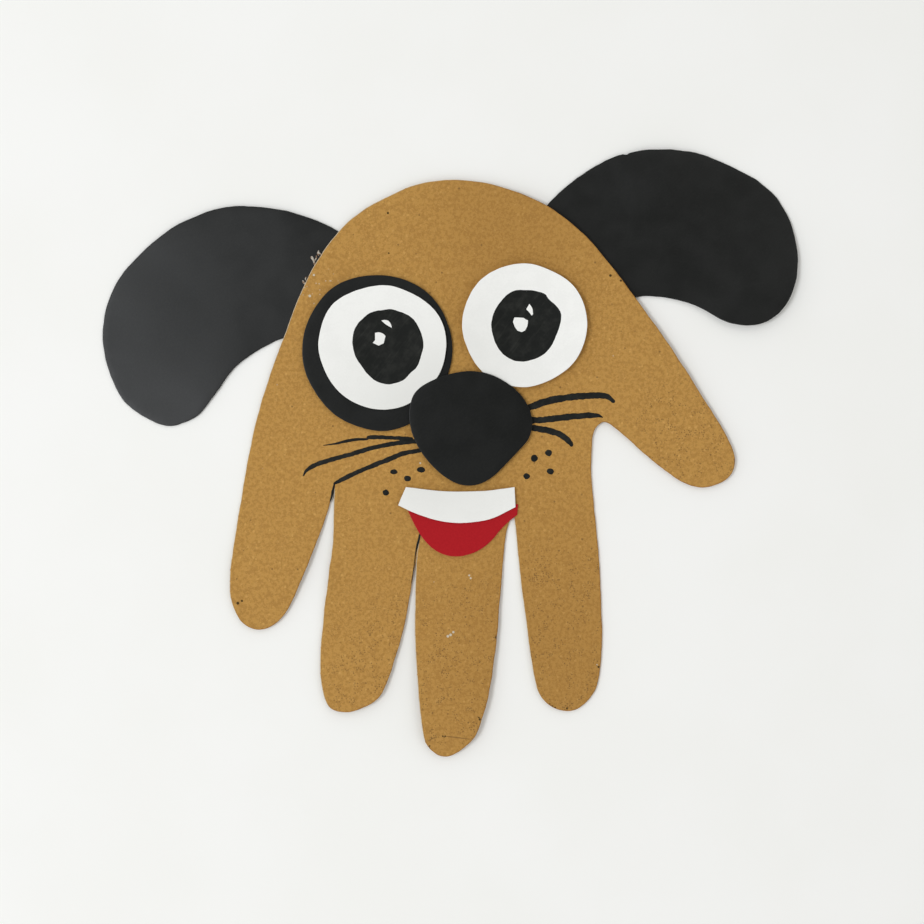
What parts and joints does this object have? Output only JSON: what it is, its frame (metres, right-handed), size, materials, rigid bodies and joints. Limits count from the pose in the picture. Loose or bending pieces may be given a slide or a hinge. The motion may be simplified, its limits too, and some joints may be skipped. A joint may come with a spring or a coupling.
{
  "type": "handprint paper dog face",
  "caption": "Flat puppet-style dog face: a hand-shaped kraft board head, fingers down and thumb out, with glued-on paper ears, eyes, eye patch, nose, teeth and mouth.",
  "frame": {"origin": "under the middle of the whole outline, on the surface that the face lies on", "axes": "+Z out of the front of the face, +Y towards the crown of the head, +X to the viewer's right, the thumb's side"},
  "size_m": [0.1532, 0.1338, 0.0019],
  "materials": {
    "kraft_board": "matte",
    "black_card": "matte",
    "white_paper": "matte",
    "red_paper": "matte",
    "dried_glue": "satin",
    "marker_ink": "matte"
  },
  "bodies": {
    "root": {"head_card": "kraft_board", "ear_left": "black_card", "ear_right": "black_card", "eye_patch": "black_card", "eye_white_left": "white_paper", "eye_white_right": "white_paper", "nose": "black_card", "teeth": "white_paper", "mouth": "red_paper", "glue_ear_left": "dried_glue", "glue_ear_right": "dried_glue", "glue_eye_patch": "dried_glue", "glue_eye_left": "dried_glue", "glue_eye_right": "dried_glue", "glue_nose": "dried_glue", "glue_mouth": "dried_glue", "glue_teeth": "dried_glue"}
  },
  "joints": []
}
